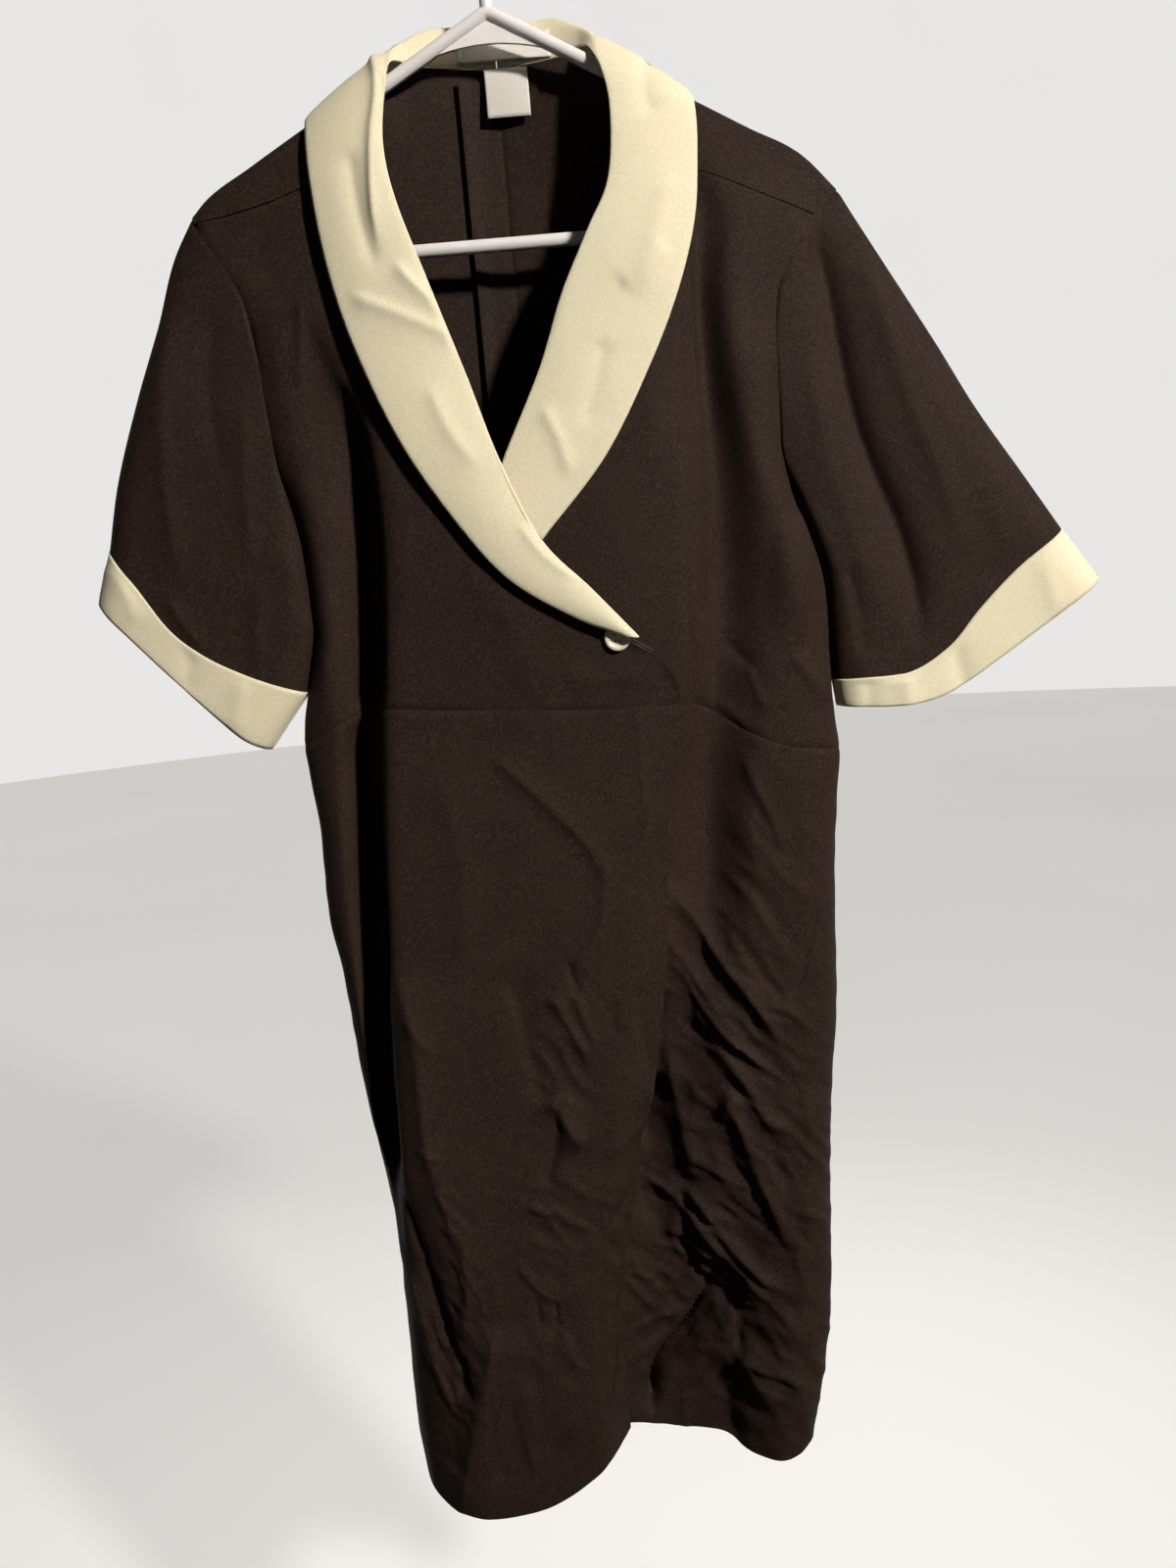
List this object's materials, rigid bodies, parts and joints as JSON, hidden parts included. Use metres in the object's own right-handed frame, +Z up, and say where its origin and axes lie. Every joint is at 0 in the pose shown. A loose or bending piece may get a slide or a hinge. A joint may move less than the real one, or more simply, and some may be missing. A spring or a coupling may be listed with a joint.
{
  "type": "waitress dress on hanger",
  "caption": "Short-sleeved wrap dress with roll collar, turned cuffs, back pleat and button, hung on a tubular hanger.",
  "frame": {"origin": "seat of the hanger's hook, the inner top of its round", "axes": "+Z up along the hanging dress, front of the dress towards -Y, the wearer's right side at -X"},
  "size_m": [0.701, 0.0948, 1.1425],
  "materials": {
    "brown_gabardine": "matte woven",
    "cream_gabardine": "matte woven",
    "ivory_button": "polished",
    "white_moulding": "satin moulded",
    "label_tape": "woven tape"
  },
  "bodies": {
    "root": {"bodice_front_right": "brown_gabardine", "bodice_front_left": "brown_gabardine", "skirt_front_right": "brown_gabardine", "skirt_front_left": "brown_gabardine", "bodice_back_right": "brown_gabardine", "bodice_back_left": "brown_gabardine", "back_pleat_underlay": "brown_gabardine", "skirt_back": "brown_gabardine", "sleeve_right": "brown_gabardine", "sleeve_left": "brown_gabardine", "cuff_right": "cream_gabardine", "cuff_left": "cream_gabardine", "collar_right": "cream_gabardine", "collar_left": "cream_gabardine", "button": "ivory_button", "hanger": "white_moulding", "label_neck": "label_tape", "label_care": "label_tape"}
  },
  "joints": []
}
